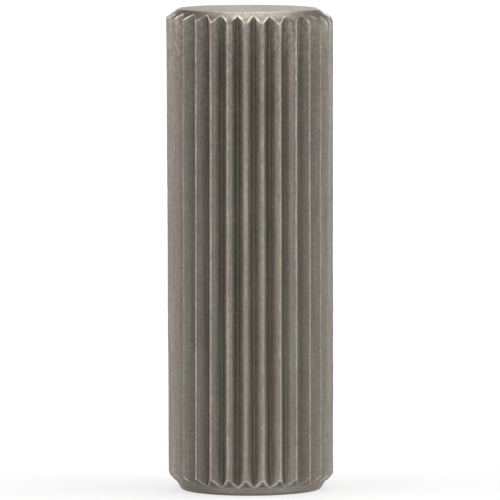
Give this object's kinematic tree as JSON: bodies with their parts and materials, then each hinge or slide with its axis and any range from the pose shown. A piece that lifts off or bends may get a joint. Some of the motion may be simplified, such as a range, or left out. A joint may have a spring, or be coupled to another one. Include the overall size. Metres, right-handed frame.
{
  "type": "knurled pin",
  "caption": "Short straight-knurled steel pin with chamfered ends, pressed into a plain hole so that its rolled teeth bite into the wall and hold it.",
  "frame": {"origin": "centre of the lead-in end face, which the pin stands on", "axes": "+Z along the pin's axis, from the lead-in end to the head end; +X through one crest of the knurl"},
  "size_m": [0.0066, 0.0066, 0.0191],
  "materials": {
    "rolled_steel": "bare rolled steel, satin, with fine axial drawing marks, brighter crests and turned end faces"
  },
  "bodies": {
    "root": {"knurled_pin": "rolled_steel"}
  },
  "joints": []
}
